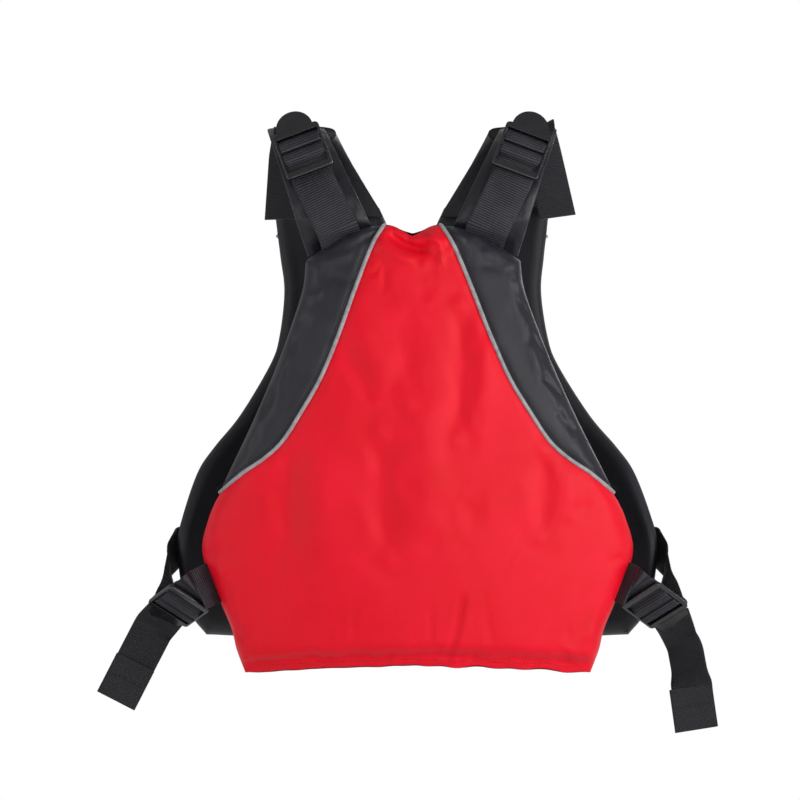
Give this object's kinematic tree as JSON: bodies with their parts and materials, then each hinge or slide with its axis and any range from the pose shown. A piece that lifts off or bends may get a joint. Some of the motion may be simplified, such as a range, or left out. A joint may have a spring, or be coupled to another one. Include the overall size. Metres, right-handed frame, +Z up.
{
  "type": "life jacket",
  "caption": "Foam paddling life jacket with front zip, webbing shoulder and waist straps in ladder locks, and a belt buckle.",
  "frame": {"origin": "middle of the shoulder seat, the height at which the shoulder pads rest, between the shoulders", "axes": "+Z up as worn, +Y the way the wearer faces, so the back panel faces -Y; +X towards the wearer's right"},
  "size_m": [0.5715, 0.246, 0.5674],
  "materials": {
    "red_satin": "satin woven nylon",
    "black_satin": "satin woven nylon",
    "black_lining": "matte woven polyester",
    "piping": "silver-grey reflective piping",
    "foam": "closed-cell foam sheet",
    "webbing": "ribbed polyester webbing",
    "black_plastic": "moulded acetal, soft sheen",
    "zip_tape": "woven zip tape",
    "zip_plastic": "moulded plastic",
    "zip_metal": "black painted metal"
  },
  "bodies": {
    "root": {"back_cover": "red_satin", "back_foam_inner": "foam", "back_foam_outer": "foam", "back_lining": "black_lining", "back_piping_left": "piping", "back_piping_right": "piping", "back_wing_left": "black_satin", "back_wing_right": "black_satin", "belt_keepers": "webbing", "buckle_plug": "black_plastic", "buckle_socket": "black_plastic", "front_cover_left": "red_satin", "front_cover_right": "red_satin", "front_foam_inner_left": "foam", "front_foam_inner_right": "foam", "front_foam_outer_left": "foam", "front_foam_outer_right": "foam", "front_lining_left": "black_lining", "front_lining_right": "black_lining", "front_piping_left": "piping", "front_piping_right": "piping", "front_yoke_left": "black_satin", "front_yoke_right": "black_satin", "shoulder_anchor_left": "webbing", "shoulder_anchor_right": "webbing", "shoulder_front_pad_left": "black_lining", "shoulder_front_pad_right": "black_lining", "shoulder_rear_pad_left": "black_satin", "shoulder_rear_pad_right": "black_satin", "shoulder_strap_left": "webbing", "shoulder_strap_right": "webbing", "waist_anchor_left": "webbing", "waist_anchor_right": "webbing", "waist_strap_left": "webbing", "waist_strap_right": "webbing", "zip_stops": "zip_plastic", "zip_tape_left": "zip_tape", "zip_tape_right": "zip_tape", "zip_teeth_left": "zip_plastic", "zip_teeth_right": "zip_plastic"},
    "shoulder_lock_left": {"shoulder_lock_left": "black_plastic", "shoulder_anchor_loop_left": "webbing", "shoulder_strap_loop_left": "webbing"},
    "shoulder_tail_left": {"shoulder_tail_left": "webbing"},
    "waist_lock_left": {"waist_lock_left": "black_plastic", "waist_anchor_loop_left": "webbing", "waist_strap_loop_left": "webbing"},
    "waist_tail_left": {"waist_tail_left": "webbing"},
    "shoulder_lock_right": {"shoulder_lock_right": "black_plastic", "shoulder_anchor_loop_right": "webbing", "shoulder_strap_loop_right": "webbing"},
    "shoulder_tail_right": {"shoulder_tail_right": "webbing"},
    "waist_lock_right": {"waist_lock_right": "black_plastic", "waist_anchor_loop_right": "webbing", "waist_strap_loop_right": "webbing"},
    "waist_tail_right": {"waist_tail_right": "webbing"},
    "zip_slider": {"zip_slider": "zip_metal"},
    "zip_pull": {"zip_pull": "zip_metal"},
    "buckle_prong_upper": {"buckle_prong_upper": "black_plastic"},
    "buckle_prong_lower": {"buckle_prong_lower": "black_plastic"}
  },
  "joints": [
    {"name": "shoulder_lock_lift_left", "type": "hinge", "parent": "root", "child": "shoulder_lock_left", "pos_m": [-0.09549, -0.08734, -0.03674], "axis": [0.9366, 0, 0.3503], "range_deg": [0, 30]},
    {"name": "shoulder_tail_swing_left", "type": "hinge", "parent": "root", "child": "shoulder_tail_left", "pos_m": [-0.1195, -0.038, -0.012], "axis": [-0.8944, 0.4472, -0.0072], "range_deg": [-40, 30]},
    {"name": "waist_lock_lift_left", "type": "hinge", "parent": "root", "child": "waist_lock_left", "pos_m": [-0.20421, -0.0646, -0.41437], "axis": [-0.7991, -0.2744, 0.5348], "range_deg": [0, 30]},
    {"name": "waist_tail_swing_left", "type": "hinge", "parent": "waist_lock_left", "child": "waist_tail_left", "pos_m": [-0.23862, -0.01431, -0.43998], "axis": [-0.7991, -0.2744, 0.5348], "range_deg": [-40, 30]},
    {"name": "shoulder_lock_lift_right", "type": "hinge", "parent": "root", "child": "shoulder_lock_right", "pos_m": [0.08549, -0.08734, -0.03674], "axis": [0.9366, 0, -0.3503], "range_deg": [0, 30]},
    {"name": "shoulder_tail_swing_right", "type": "hinge", "parent": "root", "child": "shoulder_tail_right", "pos_m": [0.113, -0.038, -0.006], "axis": [-0.8847, -0.4423, -0.1474], "range_deg": [-40, 30]},
    {"name": "waist_lock_lift_right", "type": "hinge", "parent": "root", "child": "waist_lock_right", "pos_m": [0.19931, -0.06316, -0.41122], "axis": [-0.7444, 0.4322, -0.5091], "range_deg": [0, 30]},
    {"name": "waist_tail_swing_right", "type": "hinge", "parent": "waist_lock_right", "child": "waist_tail_right", "pos_m": [0.24322, -0.02632, -0.44415], "axis": [-0.7444, 0.4322, -0.5091], "range_deg": [-40, 30]},
    {"name": "zip_slide", "type": "slide", "parent": "root", "child": "zip_slider", "axis": [0.0127, 0.0304, -0.9995], "range_m": [0, 0.318]},
    {"name": "zip_pull_swing", "type": "hinge", "parent": "zip_slider", "child": "zip_pull", "pos_m": [-0.00434, 0.09243, -0.12492], "axis": [0.9999, 0, 0.0127], "range_deg": [0, 160]},
    {"name": "prong_squeeze_upper", "type": "hinge", "parent": "root", "child": "buckle_prong_upper", "pos_m": [0.0062, 0.12116, -0.3645], "axis": [0, -1, 0], "range_deg": [0, 12], "stiffness_Nm_per_rad": 0.4},
    {"name": "prong_squeeze_lower", "type": "hinge", "parent": "root", "child": "buckle_prong_lower", "pos_m": [0.0062, 0.12116, -0.3875], "axis": [0, 1, 0], "range_deg": [0, 12], "stiffness_Nm_per_rad": 0.4}
  ],
  "couplings": [
    {"joint": "prong_squeeze_lower", "follows": "prong_squeeze_upper", "ratio": 1}
  ]
}
